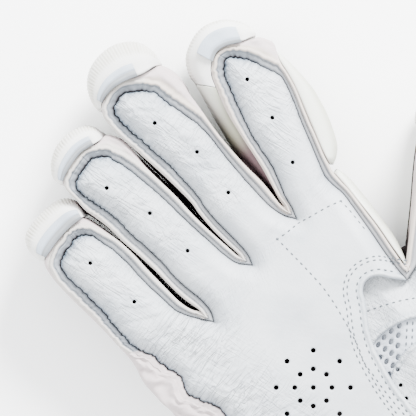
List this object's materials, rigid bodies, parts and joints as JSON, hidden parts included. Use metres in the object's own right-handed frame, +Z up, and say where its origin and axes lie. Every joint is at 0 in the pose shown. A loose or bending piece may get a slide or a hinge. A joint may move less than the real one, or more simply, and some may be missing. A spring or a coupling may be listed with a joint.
{
  "type": "cricket batting glove",
  "caption": "Padded right-hand sports glove lying palm up: perforated leather palm, fabric side walls, foam rolls on the back, ribbed fingertip guards and an open wrist cuff.",
  "frame": {"origin": "on the surface that the glove lies on, under the foam roll behind the middle finger", "axes": "+Y along the fingers to their tips, +X to the thumb side, +Z up out of the palm"},
  "size_m": [0.1741, 0.2668, 0.0477],
  "materials": {
    "palm_leather": "soft matte, fine grain",
    "gusset_fabric": "brushed knit",
    "spacer_mesh": "open mesh",
    "pad_cover": "coated, smooth",
    "ribbed_guard": "ribbed",
    "binding_tape": "smooth woven tape"
  },
  "bodies": {
    "root": {"palm_leather": "palm_leather", "side_wall_little": "gusset_fabric", "fourchette_little_ring": "gusset_fabric", "fourchette_ring_middle": "gusset_fabric", "fourchette_middle_index": "gusset_fabric", "fourchette_index_thumb": "gusset_fabric", "side_wall_thumb": "gusset_fabric", "thumb_leather": "palm_leather", "thumb_mesh": "spacer_mesh", "thenar_leather": "palm_leather", "hand_backing": "pad_cover", "thumb_backing": "pad_cover", "roll_little_base": "pad_cover", "roll_little_middle": "pad_cover", "roll_little_tip": "pad_cover", "roll_ring_base": "pad_cover", "roll_ring_middle": "pad_cover", "roll_ring_tip": "pad_cover", "roll_middle_base": "pad_cover", "roll_middle_middle": "pad_cover", "roll_middle_tip": "pad_cover", "roll_index_base": "pad_cover", "roll_index_middle": "pad_cover", "roll_index_tip": "pad_cover", "roll_thumb_base": "pad_cover", "roll_thumb_middle": "pad_cover", "roll_thumb_tip": "pad_cover", "roll_hand_little": "pad_cover", "roll_hand_ring": "pad_cover", "roll_hand_middle": "pad_cover", "roll_hand_index": "pad_cover", "roll_thenar": "pad_cover", "side_roll_index": "pad_cover", "side_roll_hand": "pad_cover", "cuff": "pad_cover", "cap_little": "ribbed_guard", "cap_ring": "ribbed_guard", "cap_middle": "ribbed_guard", "cap_index": "ribbed_guard", "cap_thumb": "ribbed_guard", "tab_little": "binding_tape", "tab_ring": "binding_tape", "tab_middle": "binding_tape", "tab_index": "binding_tape", "tab_thumb": "binding_tape", "cuff_strap": "gusset_fabric"}
  },
  "joints": []
}
